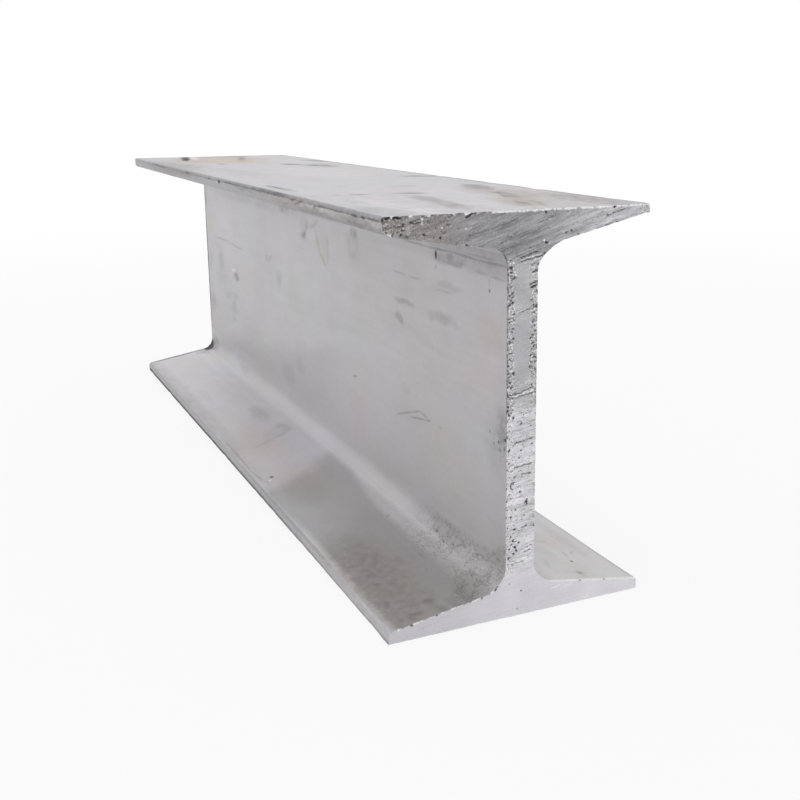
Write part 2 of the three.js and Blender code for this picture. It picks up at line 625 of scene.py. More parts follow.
def sawn_surface(finish, points, nicks):
    """For each point of a sawn end, its depth behind the solid's end and what its finish reads."""
    pits, burrs = flaw_shares(points, nicks)
    surface = []
    for (x, z), pit, burr in zip(points, pits, burrs):
        swell = uneven(x / 11, 3, z / 11)
        tear = uneven(x / TORN_SIZE, 6, z / TORN_SIZE)
        strength = saw_strength(x, z)
        cut = groove(x, z)
        speckle = speckled(x, z)
        gritty = 0.9 * speckle + 0.35 * ease(x, 12, 32) * ease(z, 94, 98)
        depth = SAWN_DEPTH + SAWN_SWELL * swell - finish.saw_grooves / MM * strength * cut
        depth += TORN_DEPTH * (strength + speckle) * tear
        depth += finish.pit_depth / MM * pit - BURR_HEIGHT * burr
        looks = {
            # The saw's ridges are painted lighter and its grooves darker, a painted highlight and
            # shade over their relief.
            "tone": sawn_tone(x, z) * (1 + 0.38 * strength * cut),
            "sawing": strength,
            "grit": 0.15 + 0.35 * strength + gritty,
            "pitting": pit,
            "burr": burr,
        }
        surface.append((max(0.0, depth), looks))
    return surface


def rim_wear(x, z, around):
    """How far the edge between skin and sawn end is broken away."""
    coarse = uneven(around / 1.9, 2)
    fine = uneven(around / 0.6, 7)
    ragged = 0.45 + 0.75 * ease(z, 84, 97)
    ragged += 0.6 * between(x, -29, -6, 3) * between(z, 3, 13, 1.5)
    return 0.07 + 0.22 * ragged * max(0.0, coarse + 0.6 * fine)


def rim_shine(station, around):
    """How the edge between skin and sawn end catches the light: 1 bright, -1 dark."""
    x, z = station.x, station.z
    ragged = uneven(around / 1.5, 4) + 0.7 * uneven(around / 0.55, 9)
    upward = ease(station.out_z, 0.5, 0.9)
    if z > 0.9 * BEAM_DEPTH:
        steady = 0.05 + 0.80 * between(x, -8, 33.6, 1.5)
        toe_corner = 0.3 * ease(x, -32.6, -33.6) * between(z, 96.6, 98.6, 0.4)
        return upward * (steady + 1.5 * ragged) + toe_corner
    if upward:
        steady = 1.0 * ease(x, 7, 10) + 0.25 * ease(-x, 6, 9)
        return upward * (steady + (1.6 if x < 0 else 0.5) * ragged)
    if abs(station.out_x) > UPRIGHT and abs(x) < 6:
        darker = 0.4 + 0.6 * ease(z, 45, 60)
        return -darker * (0.4 * ease(x, 1, -1) + 0.12 + 1.4 * max(0.0, ragged))
    return 0.15 * ragged


# ---------------------------------------------------------------------------------------------
# The beam's mesh
# ---------------------------------------------------------------------------------------------


# How far from an end the fine rows lie, then the half fine ones and the first coarse one.
FINE_ROWS = (0.0, 0.36, 0.72, 1.1, 1.5)
HALF_FINE_ROWS = (2.2, 3.0, 3.8, 4.6)
FIRST_COARSE_ROW = 6.2
ROW_SPACING = 2.4


def rows_along():
    """Distances along the beam of the mesh's rows, each with the step between its stations."""
    near = [(along, 1) for along in FINE_ROWS] + [(along, 2) for along in HALF_FINE_ROWS]
    stretch = BEAM_LENGTH - 2 * FIRST_COARSE_ROW
    count = round(stretch / ROW_SPACING)
    middle = [
        (FIRST_COARSE_ROW + stretch / count * index, FINE_TO_COARSE) for index in range(count + 1)
    ]
    far = [(BEAM_LENGTH - along, step) for along, step in reversed(near)]
    return near + middle + far


# What the finishes read from the mesh, point by point, and what it is where nothing else is said.
# Of these, the last is painted light along the rims and on the burrs: above 0 a painted highlight,
# below 0 painted shade.
LOOKS = {"tone": 1.0, "sawing": 0.0, "grit": 0.0, "pitting": 0.0, "burr": 0.0}

# Degrees between two faces from which the edge between them shades sharp.
SHARP_ANGLE = 42


class MeshBuilder:
    """Gathers the vertices and faces of the beam before they turn into a mesh."""

    def __init__(self):
        self.vertices = []
        self.looks = []
        self.faces = []
        self.finishes = []

    def vertex(self, x, y, z, looks=None):
        self.vertices.append((x * MM, y * MM, z * MM))
        self.looks.append({**LOOKS, **(looks or {})})
        return len(self.vertices) - 1

    def face(self, corners, finish):
        self.faces.append(corners)
        self.finishes.append(finish)

    def join_rows(self, near, far, regions):
        """Faces between two rows, {station: vertex}; one row may have half the other's stations."""
        coarse, fine = (near, far) if len(near) < len(far) else (far, near)
        stations = sorted(coarse)
        # The last station and one step more make the whole way round.
        total = sorted(fine)[-1] + sorted(fine)[1]
        for index, start in enumerate(stations):
            end = stations[(index + 1) % len(stations)]
            middle = (start + (end - start) % total // 2) % total
            if len(near) == len(far):
                faces = [(near[start], far[start], far[end], near[end])]
            elif coarse is far:
                faces = [
                    (near[start], far[start], near[middle]),
                    (near[middle], far[start], far[end]),
                    (near[middle], far[end], near[end]),
                ]
            else:
                faces = [
                    (near[start], far[start], far[middle]),
                    (near[start], far[middle], near[end]),
                    (near[end], far[middle], far[end]),
                ]
            for face in faces:
                self.face(face, REGIONS.index(regions[start]))

    def mesh(self, name):
        made = bpy.data.meshes.new(name)
        made.from_pydata(self.vertices, [], self.faces)
        made.shade_smooth()
        made.polygons.foreach_set("material_index", self.finishes)
        for look in LOOKS:
            values = made.attributes.new(look, "FLOAT", "POINT")
            values.data.foreach_set("value", [looks[look] for looks in self.looks])
        made.set_sharp_from_angle(angle=math.radians(SHARP_ANGLE))
        made.validate()
        return made


# Spacing of the points over a sawn end; the far one is cut the same but modelled less finely.
NEAR_END_SPACING = 0.26
FAR_END_SPACING = 0.50

# Share of that spacing that a point keeps from the rim.
CLEAR_OF_RIM = 0.72

# How far from the rim its shine reaches, over the sawn end and over the skin.
RIM_SHINE_REACH = (0.1, 0.65)


class RimPoint(NamedTuple):
    """A point of the edge between skin and sawn end."""

    vertex: int
    x: float
    z: float
    shine: float


def inside_points(rim, spacing):
    """Points on a close-packed grid inside a rim, each with its gap to the rim and the nearest
    rim point; none of them crowds the rim."""
    low, high = rim.min(axis=0), rim.max(axis=0)
    following = np.roll(rim, -1, axis=0)
    kept = []
    pitch = spacing * math.sqrt(3) / 2
    for row in range(1, int((high[1] - low[1]) / pitch)):
        z = low[1] + pitch * row
        crosses = (rim[:, 1] < z) != (following[:, 1] < z)
        start, end = rim[crosses], following[crosses]
        share = (z - start[:, 1]) / (end[:, 1] - start[:, 1])
        edges = np.sort(start[:, 0] + share * (end[:, 0] - start[:, 0]))
        for left, right in zip(edges[::2], edges[1::2]):
            first = math.ceil(left / spacing - 0.5 * (row % 2)) + 0.5 * (row % 2)
            kept += [(x, z) for x in np.arange(first * spacing, right, spacing)]
    points = np.array(kept)
    gap = np.full(len(points), np.inf)
    nearest = np.zeros(len(points), int)
    for index, (x, z) in enumerate(rim):
        away = np.hypot(points[:, 0] - x, points[:, 1] - z)
        nearest[away < gap] = index
        gap = np.minimum(gap, away)
    clear = gap > CLEAR_OF_RIM * spacing
    return points[clear], gap[clear], nearest[clear]


# The two ends draw their scattered flaws from the seeds on either side of this one.
NICK_SEED = 11


def saw_off(builder, finish, rim, end):
    """Closes one end with a sawn face; end is -1 for the near end and 1 for the far one."""
    near_end = end < 0
    nicks = scattered_nicks(NICK_SEED + end) + (NEAR_NICKS if near_end else [])
    outline = np.array([(point.x, point.z) for point in rim])
    spacing = NEAR_END_SPACING if near_end else FAR_END_SPACING
    inner, gaps, nearest = inside_points(outline, spacing)
    indices = [point.vertex for point in rim]
    for (x, z), (depth, looks), gap, index in zip(
        inner, sawn_surface(finish, inner, nicks), gaps, nearest
    ):
        # The rim's painted highlight and shade reach a little way over the sawn end.
        looks["burr"] += rim[index].shine * (1 - ease(gap, *RIM_SHINE_REACH))
        indices.append(builder.vertex(x, end * (HALF_LENGTH - depth), z, looks))
    for point, (_, looks) in zip(rim, sawn_surface(finish, outline, nicks)):
        looks["burr"] += point.shine
        builder.looks[point.vertex].update(looks)

    flat = [Vector(point) for point in np.concatenate([outline, inner])]
    _, _, triangles, _, _, _ = delaunay_2d_cdt(flat, [], [list(range(len(rim)))], 1, 1e-6)
    for triangle in triangles:
        first, second, third = (flat[corner] for corner in triangle)
        counter_clockwise = (second - first).cross(third - first) > 0
        turned = triangle if counter_clockwise == near_end else triangle[::-1]
        builder.face([indices[corner] for corner in turned], len(REGIONS))


# How far from the end the skin's edge is worn, and the share of that by which it is cut back.
RIM_WEAR_REACH = (0.1, 0.9)
CUT_BACK = 0.8

# Keeps the wear of the two rims apart in the noise that makes it.
RIMS_APART = 200


def skin_row(builder, sizes, finish, stations, along):
    """One row of the skin: its points, {station: rim point}, and the end that it is nearest."""
    from_end = min(along, BEAM_LENGTH - along)
    end = -1 if along < HALF_LENGTH else 1
    row = {}
    for index, (station, around) in stations.items():
        place = around + RIMS_APART * end
        worn = rim_wear(station.x, station.z, place)
        out, up = off_true(sizes, station, along)
        depth = skin_depth(finish, station, along) - out
        depth += worn * (1 - ease(from_end, *RIM_WEAR_REACH))
        x = station.x - depth * station.out_x
        z = station.z + up - depth * station.out_z
        shine = rim_shine(station, place) * (1 - ease(from_end, *RIM_SHINE_REACH))
        y = along - HALF_LENGTH
        if from_end == 0:
            y -= end * worn * CUT_BACK
        row[index] = RimPoint(builder.vertex(x, y, z, {"burr": shine}), x, z, shine)
    return row, end


def beam_mesh(sizes, finish):
    """The whole beam as one closed mesh: skin in rows from end to end, and two sawn faces."""
    outline = rounded_outline(section_corners(sizes))
    around = [0.0]
    for before, after in zip(outline, outline[1:]):
        around.append(around[-1] + math.hypot(after.x - before.x, after.z - before.z))
    stations = dict(enumerate(zip(outline, around)))
    builder = MeshBuilder()
    rows = []
    rims = {}
    for along, step in rows_along():
        chosen = {index: stations[index] for index in range(0, len(outline), step)}
        row, end = skin_row(builder, sizes, finish, chosen, along)
        rows.append({index: point.vertex for index, point in row.items()})
        if along in (0, BEAM_LENGTH):
            rims[end] = list(row.values())
    regions = [region_of(station) for station in outline]
    for near, far in zip(rows, rows[1:]):
        builder.join_rows(near, far, regions)
    for end, rim in rims.items():
        saw_off(builder, finish, rim, end)
    return builder.mesh("rolled_beam")


# ---------------------------------------------------------------------------------------------
# Shader maths
# ---------------------------------------------------------------------------------------------


class Signal:
    """An output socket on which arithmetic is written as on a number."""

    def __init__(self, board, socket):
        self.board = board
        self.socket = socket

    def beside(self, key):
        """Another output of the same node."""
        return Signal(self.board, self.board.find(self.socket.node.outputs, key))

    def __add__(self, other):
        return self.board.math("ADD", self, other)

    __radd__ = __add__

    def __sub__(self, other):
        return self.board.math("SUBTRACT", self, other)

    def __rsub__(self, other):
        return self.board.math("SUBTRACT", other, self)

    def __mul__(self, other):
        return self.board.math("MULTIPLY", self, other)

    __rmul__ = __mul__

    def __abs__(self):
        return self.board.math("ABSOLUTE", self)


class Board:
    """The node tree of one material."""

    def __init__(self, name):
        self.material = bpy.data.materials.new(name)
        self.material.use_nodes = True
        self.tree = self.material.node_tree
        self.tree.nodes.clear()

    def node(self, kind, settings=None, inputs=None, output=0):
        """Adds a node, sets it, then fills its sockets, and gives one of its outputs."""
        made = self.tree.nodes.new(kind)
        for setting, value in (settings or {}).items():
            setattr(made, setting, value)
        for key, value in (inputs or {}).items():
            socket = self.find(made.inputs, key)
            if isinstance(value, Signal):
                self.tree.links.new(value.socket, socket)
            else:
                socket.default_value = value
        return Signal(self, self.find(made.outputs, output)) if made.outputs else None

    @staticmethod
    def find(sockets, key):
        """A socket by its number, its identifier or its name."""
        if isinstance(key, int):
            return sockets[key]
        return next(socket for socket in sockets if key in (socket.identifier, socket.name))

    def math(self, operation, first, second=0.0):
        return self.node("ShaderNodeMath", {"operation": operation}, {0: first, 1: second})

    def vector(self, operation, first, second=(0, 0, 0), output=0):
        return self.node(
            "ShaderNodeVectorMath", {"operation": operation}, {0: first, 1: second}, output
        )

    def step(self, value, start, end, height=1.0):
        """0 before start, height past end, and a smooth change between."""
        return self.node(
            "ShaderNodeMapRange",
            {"interpolation_type": "SMOOTHSTEP"},
            {"Value": value, "From Min": start, "From Max": end, "To Max": height},
        )

    def window(self, value, start, end, soft=1.0):
        """1 between start and end, 0 outside, with soft edges."""
        rise = self.step(value, start - soft, start + soft)
        return rise * self.step(value, end + soft, end - soft)

    def point(self, x, y, z):
        return self.node("ShaderNodeCombineXYZ", inputs={0: x, 1: y, 2: z})

    def grain(self, place, size, detail=2.0, rough=0.5, seed=0.0, output=0):
        """Smooth noise from 0 to 1 whose features are about size across; size may be (x, y, z)."""
        sizes = size if isinstance(size, tuple) else (size, size, size)
        scaled = self.node(
            "ShaderNodeMapping",
            {"vector_type": "POINT"},
            {
                "Vector": place,
                "Location": (seed, seed * 1.7, seed * 0.6),
                "Scale": tuple(1 / length for length in sizes),
            },
        )
        return self.node(
            "ShaderNodeTexNoise",
            {"noise_dimensions": "3D"},
            {"Vector": scaled, "Scale": 1.0, "Detail": detail, "Roughness": rough},
            output,
        )

    def attribute(self, name):
        """What the mesh holds under a name, point by point."""
        return self.node("ShaderNodeAttribute", {"attribute_name": name}, output="Fac")

    def blend(self, share, first, second, kind="MIX"):
        """A colour between two colours."""
        return self.node(
            "ShaderNodeMix",
            {"data_type": "RGBA", "blend_type": kind, "clamp_factor": True},
            {"Factor_Float": share, "A_Color": opaque(first), "B_Color": opaque(second)},
            "Result_Color",
        )


def opaque(colour):
    """A colour with its alpha; a signal stays as it is."""
    return colour if isinstance(colour, Signal) else (*colour, 1.0)


class Mark(NamedTuple):
    """A mark on a face: its middle, half its length and width, its turn in degrees."""

    along: float
    across: float
    length: float
    width: float
    strength: float = 0.2
    turn: float = 0.0


def smudges(board, place, drawn, softness=0.75):
    """Marks as soft patches, added up."""
    total = 0.0
    for mark in drawn:
        away = in_mark(board, place, mark)
        edge = board.step(away, (1 + softness) ** 2, (1 - softness) ** 2, mark.strength)
        total = edge + total
    return total


def in_mark(board, place, mark):
    """Square of the distance from a mark's middle, in its own half lengths and widths."""
    turn = math.radians(mark.turn)
    axes = (
        (math.cos(turn), math.sin(turn), mark.length),
        (-math.sin(turn), math.cos(turn), mark.width),
    )
    total = 0.0
    for along, across, size in axes:
        middle = along * mark.along + across * mark.across
        measure = (along / size, across / size, -middle / size)
        away = board.vector("DOT_PRODUCT", place, measure, output="Value")
        total = away * away + total
    return total


def flat_place(board, along, across):
    """A place on a face. Its third number is 1, so that a dot product can also add."""
    return board.point(along, across, 1.0)


class Place(NamedTuple):
    """Where a point of the beam is, in millimetres, as signals."""

    vector: Signal
    x: Signal
    along: Signal
    z: Signal


def beam_place(board):
    metres = board.node("ShaderNodeTexCoord", output="Object")
    vector = board.vector("MULTIPLY", metres, (1 / MM, 1 / MM, 1 / MM))
    x = board.node("ShaderNodeSeparateXYZ", inputs={0: vector}, output="X")
    return Place(vector, x, x.beside("Y") + HALF_LENGTH, x.beside("Z"))


def side_of_web(board, place):
    """1 on the left side of the web and 0 on the right, and where that side's marks are read: the
    right side wears the left one's, counted from the far end."""
    left = board.step(place.x, 0.5, -0.5)
    along = board.node(
        "ShaderNodeMix",
        {"data_type": "FLOAT"},
        {"Factor_Float": left, "A_Float": BEAM_LENGTH - place.along, "B_Float": place.along},
        "Result_Float",
    )
    return left, along


# ---------------------------------------------------------------------------------------------
# Marks on the rolled skin, in millimetres from the near end and up or across the face. A mark of
# negative strength is lighter than the skin round it.
# ---------------------------------------------------------------------------------------------


# Half the length of a stroke's mark, as a share of the stretch that the mark draws.
STROKE_SHARE = 0.42


def stroke(width, strength, *places):
    """Marks in a row that draw a line through several points (along, across)."""
    made = []
    for (along, across), (to_along, to_across) in zip(places, places[1:]):
        run, rise = to_along - along, to_across - across
        length = max(width, STROKE_SHARE * math.hypot(run, rise))
        turn = math.degrees(math.atan2(rise, run))
        made.append(Mark(along + run / 2, across + rise / 2, length, width, strength, turn))
    return made


def marks(*rows):
    """Marks from rows of numbers; a row that ends with points is a stroke through them."""
    made = []
    for row in rows:
        made += stroke(*row) if isinstance(row[-1], tuple) else [Mark(*row)]
    return made


class FaceMarks(NamedTuple):
    """The marks of one face: soft patches, thin strokes and warm stains."""

    patches: list
    strokes: list
    stains: list


WEB_MARKS = FaceMarks(
    patches=marks(
        (36, 70.2, 7, 1.3, 0.19), (32, 79.4, 5, 0.8, 0.14), (61.5, 70.5, 5.0, 0.6, 0.24),
        (65.5, 65.6, 2.4, 1.1, 0.26), (49, 62.3, 12, 1.2, 0.07, 8), (61, 45, 2.2, 1.2, 0.08),
        (1.4, 49, 2.6, 3.6, 0.26), (4, 44.5, 5, 6, 0.09), (33.5, 86.2, 7, 1.4, 0.26),
        (14, 86.8, 15, 1.3, 0.14), (101.5, 86, 2.4, 1.3, 0.26), (102.5, 81.3, 5, 4, 0.08),
        (35.5, 8.0, 4.2, 1.3, -0.16, 12), (140.5, 84.8, 4.5, 0.9, 0.22, -14),
        (152.5, 80.3, 2.6, 1.3, 0.28), (150.5, 84, 3.8, 2.2, 0.12), (175.5, 87.5, 5, 1.1, 0.22),
        (198, 66.2, 4.5, 0.9, 0.20, -8), (185, 59.8, 2.5, 2.2, 0.17), (124, 52.5, 5, 1.2, 0.05),
        (161, 29.8, 4.5, 2.2, 0.13), (177, 24, 7, 3.2, 0.13), (251, 51.2, 3.4, 1.3, 0.44),
        (256, 53.2, 3.2, 0.6, -0.20), (277, 56.0, 4.0, 3.2, 0.20, -12),
        (276, 49, 8, 3.5, 0.08, -20), (253, 42.2, 3, 1.2, 0.13, -8), (266, 40.4, 5, 1.1, 0.13, -12),
        (256.5, 36.6, 3.5, 2.5, 0.15), (258, 30.8, 3, 1.4, 0.14), (297, 33, 5, 3.0, 0.16, -12),
        # (299, 11, ...) is painted shade in the far corner of the root.
        (300, 53, 5, 3, 0.10, -12), (299, 11, 7, 3.6, 0.35), (268, 18, 40, 3.4, 0.08, -14.5),
        (244, 11.8, 6, 1.0, 0.16), (32, 11.4, 8, 1.7, 0.17), (42, 14, 10, 2.4, 0.06, -14),
        # (20, 91.0, ...) and (225, 88.5, ...) are painted shade on the web under the top flange.
        (20, 91.0, 40, 2.4, 0.16), (225, 88.5, 60, 2.6, 0.12), (302, 84, 3, 4, 0.16),
    ),
    strokes=marks(
        (0.30, 0.40, (43.5, 39.9), (47, 39.1), (58, 37.3)),
        (0.32, 0.36, (45.5, 40.0), (51, 40.6), (56, 39.3), (68.5, 35.2)),
        (0.28, 0.24, (36.5, 39.6), (39, 39.5)), (0.34, 0.44, (101, 39.6), (105, 38.9)),
        (0.62, 1.00, (39.6, 87.8), (39.6, 85.4)), (0.30, 0.40, (39.7, 84.2), (39.7, 82.6)),
        (0.42, 0.70, (9, 82.0), (9, 81.2)), (0.36, 0.18, (9, 85), (9, 82.6)),
        (0.30, 0.32, (0, 88.5), (14, 88.2), (30, 88.5), (46, 88.1), (62, 88.2)),
        (0.26, 0.16, (4, 89.4), (22, 89.2)), (0.40, 0.75, (0.2, 46.6), (0.8, 46.3)),
        (0.36, 0.60, (3.6, 45.1), (4.3, 45.0)), (0.34, 0.50, (8.2, 46.6), (8.8, 46.5)),
        (0.38, 0.55, (2.8, 43.4), (3.4, 43.2)), (0.36, 0.50, (6.0, 44.4), (6.4, 43.6)),
        (0.40, 0.65, (0.6, 44.4), (1.2, 43.9)), (0.28, 0.24, (1, 85), (9, 85.2)),
        (0.34, 0.18, (10, 85.3), (17, 85.2)), (0.34, 0.13, (24, 85.2), (38, 85.6)),
        (0.28, 0.22, (50, 78.6), (58, 78.2)), (0.28, 0.22, (60, 78.3), (70, 78.5)),
        (0.28, 0.16, (28, 77.8), (41, 77.3)), (0.30, 0.26, (236, 64.6), (262, 65.4)),
        (0.30, 0.28, (262, 65.8), (288, 65.2)), (0.42, 0.32, (147.3, 85), (150, 81.2), (154, 79.3)),
        (0.8, 0.06, (98.6, 85), (98.4, 81), (103, 78.2), (106.4, 80), (106, 84)),
        (0.9, 0.11, (139, 83), (134.5, 75.4), (128.6, 72)),
        (0.9, 0.11, (127, 83), (126, 77.8), (127, 73)), (1.7, 0.95, (304.8, 12), (304.8, 92)),
        # This mark is painted shade in the far corner of the root.
        (303.0, 10.2, 4.6, 1.9, 1.3, 18),
        (0.30, 0.30, (39.4, 9.9), (36, 10.0), (32.6, 8.8), (28.4, 9.1)),
        (0.28, 0.30, (26, 9.6), (22.5, 11.2), (20.5, 11.0)),
        (0.28, 0.30, (16.4, 11.2), (12.5, 12.1), (9.1, 11.8)), (0.50, 0.16, (110, 88), (190, 88.4)),
        # (155, 90.6) to (275, 90.4) is painted shade under the top flange's toe.
        (0.50, 0.12, (155, 90.6), (275, 90.4)),
    ),
    stains=marks(
        (132, 78, 6, 5, 0.22), (8, 71, 6, 3.4, 0.24), (299, 73, 7, 8, 0.24), (5, 17, 5, 6, 0.20),
        (74, 80, 24, 9, 0.12), (60, 30, 40, 12, 0.12),
        (1.3, 0.22, (138.6, 83), (134, 75.4), (128.6, 72)),
    ),
)

TOP_MARKS = FaceMarks(
    patches=marks(
        (59.5, 17.5, 4, 1.4, 0.12), (59, 11, 2, 1.2, 0.18), (57, 31, 3, 3.4, 0.16),
        (270, 31, 22, 12, -0.04, 10), (46, 55, 16, 6, 0.14), (69, 58.5, 9, 3.0, 0.52, 12),
        (82, 40, 2.4, 4, 0.16), (204, 56, 11, 5, 0.22, 8), (304, 35, 3.6, 36, 0.48),
        (14, 65, 17, 5, 0.32), (18, 45, 8, 3.4, 0.12), (24, 56, 30, 11, 0.07, 14),
        (170, 14, 24, 6, 0.10), (160, 40, 30, 10, -0.06), (90, 5, 10, 1.6, 0.30),
        (12, 5, 9, 4, 0.20), (38, 8, 6, 2, 0.12), (20, 12, 24, 4, -0.06), (301, 45, 6, 6, 0.30),
        (262, 8, 40, 9, 0.10), (160, 70.6, 150, 1.6, 0.20), (233, 23.4, 5, 1.3, 0.40),
        (230, 4, 30, 4.5, 0.22), (2.6, 0.36, (47, 28.6), (28, 26.8), (9, 24.8)),
        (84, 69.6, 11, 1.8, 0.30), (1.9, 0.24, (50, 54.4), (40, 52.6), (31, 50.4)),
        (2.2, 0.56, (126, 58), (118, 69)), (1.7, 0.56, (210, 52), (194, 59)),
        (2.2, 0.85, (221, 46), (213, 50)), (2.4, 0.50, (250, 64), (230, 69.5)),
        (1.3, 0.46, (258, 38), (292, 47)), (1.5, 1.4, (268, 16), (306, 23.2)),
        (1.3, -0.34, (276, 21.5), (306, 27.5)), (1.0, 0.22, (22, 46), (8, 40)),
    ),
    strokes=marks(
        (0.80, 0.62, (58.4, 13.5), (57.8, 21)), (0.70, 0.40, (58, 26), (56.4, 29)),
        (0.90, 0.75, (56.6, 28.5), (54.2, 35.5)), (0.5, 0.55, (86, 5), (104, 5)),
        (0.5, 0.16, (0, 39), (18, 46)), (0.5, 0.16, (2, 44), (22, 50)),
        (0.5, 0.16, (30, 47), (50, 55)), (0.6, 0.18, (92, 21), (87, 26)),
    ),
    stains=marks(
        (2.4, 0.45, (36, 52), (20, 48), (6, 43)), (22, 46, 12, 5, 0.55, 22), (56, 54, 9, 3.5, 0.35),
        (272, 31, 23, 14, 1.4, 10), (28, 28, 24, 3.0, 0.14, 9), (25, 56, 28, 10, 0.28),
        (220, 10, 18, 3, 0.30), (236, 36, 14, 8, 0.30, 12),
    ),
)

FOOT_MARKS = FaceMarks(
    patches=marks(
        (10, 15.3, 4, 1.4, 0.14), (23, 15.5, 2.2, 1.1, 0.10), (31.5, 16, 2.2, 1.0, 0.14),
        (36, 12, 2.2, 1.4, 0.06), (13, 5, 2, 0.9, 0.16), (22, 7, 2, 1.1, 0.10),
        (31, 7, 2, 1.1, 0.08), (3, 8.5, 1.5, 1.2, 0.20), (3.5, 4.8, 1.4, 0.8, 0.20),
        (58.5, 24, 1.0, 0.5, 0.34), (41, 27, 0.9, 0.8, 0.30), (184, 21, 8, 2.6, 0.20),
        (1.4, 14.4, 1.6, 1.2, 0.34), (6.5, 13.4, 2.4, 1.0, 0.26), (2.6, 18, 2.0, 1.0, 0.26),
        # (301, 27, ...) is painted shade in the far corner of the root.
        (226, 9.5, 9, 1.4, 0.08), (301, 27, 5, 3.5, 0.30), (3, 13, 3, 3, -0.06),
        (6, 26, 6, 2.6, 0.20), (22, 12, 24, 10, 0.10), (24, 6, 26, 6, 0.24),
        (225, 0, 90, 4.5, 0.20), (42, 29, 4, 1.5, -0.10), (157, 20, 6, 3.5, 0.10, 30),
    ),
    strokes=marks(
        (1.6, 0.17, (165, 22.4), (158, 24.2), (153.5, 23)),
        # (303.4, 29.4, ...) is painted shade in the far corner of the root.
        (1.2, 0.15, (153.5, 23), (151, 17.5), (147, 9)), (303.4, 29.4, 4.2, 2.2, 1.3),
        (2.0, 1.0, (304.8, 1), (304.8, 26)), (97, 11, 12, 5, 0.11),
        (0.35, 0.26, (28, 22), (32, 22)), (0.34, 0.22, (110, 3), (125, 1.5), (165, 2)),
        (0.55, 1.0, (114.4, 5.7), (116.2, 5.5)), (0.40, -0.5, (112.8, 4.5), (113.6, 4.5)),
    ),
    stains=marks(
        (20, 8, 26, 8, 0.48), (152, 10, 14, 7, 0.22), (150, 9, 38, 7, 0.24), (8, 24, 7, 4, 0.28),
        (103, 13, 14, 7, 0.30),
    ),
)

RIGHT_FOOT_MARKS = FaceMarks(
    patches=marks(
        (4, 14.4, 2.0, 1.2, 0.16), (40, 24, 6, 2.0, 0.12), (16, 27, 18, 2.5, 0.08),
        (30, 6, 12, 1.4, 0.08), (20, 17, 5, 2.0, 0.08),
    ),
    strokes=marks(
        (12, 12.8, 0.50, 0.34, 0.85), (3.9, 15.2, 0.50, 0.36, 0.45),
        (0.4, 0.22, (17.3, 9.8), (19.5, 7.8)), (0.4, 0.18, (19, 11.5), (15, 12)),
        (0.5, 0.14, (8, 22), (14, 20)), (0.5, 0.16, (30, 17), (26, 14.5), (27, 12)),
        (0.35, 0.16, (24, 21), (20, 18.5)), (0.4, 0.16, (5, 19), (4, 13)),
    ),
    stains=marks(
        (5, 15, 6, 4, 0.16), (26, 11, 5, 3, 0.20), (14, 15, 24, 11, 0.18), (36, 15, 8, 3, 0.14),
    ),
)

# Along and up the toe of the top flange.
TOE_MARKS = FaceMarks(
    patches=marks(
        (16, 99.3, 7, 0.9, 0.30), (46, 98.6, 9, 0.7, 0.16), (70, 99.2, 8, 0.7, 0.14),
        (30, 100.0, 34, 0.5, -0.14), (115, 100.2, 10, 0.8, 0.24), (86, 100.9, 10, 0.6, 0.40),
        (205, 100.4, 16, 0.9, 0.26), (252, 99.8, 18, 1.1, 0.22), (228, 98.6, 12, 1.0, 0.14),
    ),
    strokes=marks(
        (0.24, 0.45, (1, 100.3), (8, 100.4)), (0.34, 0.80, (9.8, 100.4), (12.0, 100.4)),
        (0.26, 0.50, (14, 100.2), (19, 100.3)), (0.24, 0.40, (24, 100.4), (33, 100.5)),
        (0.26, 0.45, (36, 100.6), (43, 100.4)), (0.30, 0.50, (44, 100.3), (46, 99.8)),
        (0.34, 0.50, (54, 100.9), (62, 99.4)), (0.30, 0.45, (60, 100.9), (65, 100.1)),
        (0.32, 0.35, (68, 101.1), (82, 101.1)), (0.34, 0.45, (99, 101), (105, 101)),
        (0.36, 0.40, (125, 100.8), (139, 100.8)), (144.4, 100.4, 1.3, 0.55, 1.0),
        (147.6, 100.2, 0.9, 0.45, -0.25), (0.36, 0.50, (156, 100.7), (160, 100.7)),
        (0.36, 0.40, (188, 100.7), (196, 100.7)), (0.36, 0.35, (225, 100.8), (260, 100.8)),
    ),
    stains=marks((40, 99.6, 46, 1.2, 0.36)),
)


class Wander(NamedTuple):
    """Pushes that give the marks uneven outlines, and a mottle that breaks them up."""

    far: Signal
    near: Signal
    mottle: Signal


def wander(board, place):
    """Pushes of up to so many millimetres whose waves have a given size."""
    pushes = []
    for amount, size, seed in ((2.0, 7, 2), (0.3, 4, 5)):
        push = board.grain(place.vector, size, detail=3.0, seed=seed, output="Color")
        centred = board.vector("SUBTRACT", push, (0.5, 0.5, 0.5))
        pushes.append(board.vector("MULTIPLY", centred, (2 * amount, 2 * amount, 0)))
    return Wander(*pushes, board.grain(place.vector, 2.6, detail=3.0, rough=0.6, seed=7))


def marks_on(board, flat, face, pushes):
    """Dirt, with the painted shade among the marks, and stain of one face. Its patches wander
    further than its strokes, and the mottle breaks them up."""
    loose = board.vector("ADD", flat, pushes.far)
    tight = board.vector("ADD", flat, pushes.near)
    dirt = smudges(board, loose, face.patches) * (2.6 * pushes.mottle - 0.3)
    dirt = dirt + smudges(board, tight, face.strokes, 0.55)
    return dirt, smudges(board, loose, face.stains)


class Look(NamedTuple):
    """What one region of the skin adds to the finish that all of it shares; each part of it may
    also be a plain number."""

    tone: Signal = 1.0
    dirt: Signal = 0.0
    stain: Signal = 0.0
    dull: Signal = 0.0
    relief: Signal = 0.0


def plain_look(board, place):
    """The hidden faces, which have no marks of their own."""
    return Look()


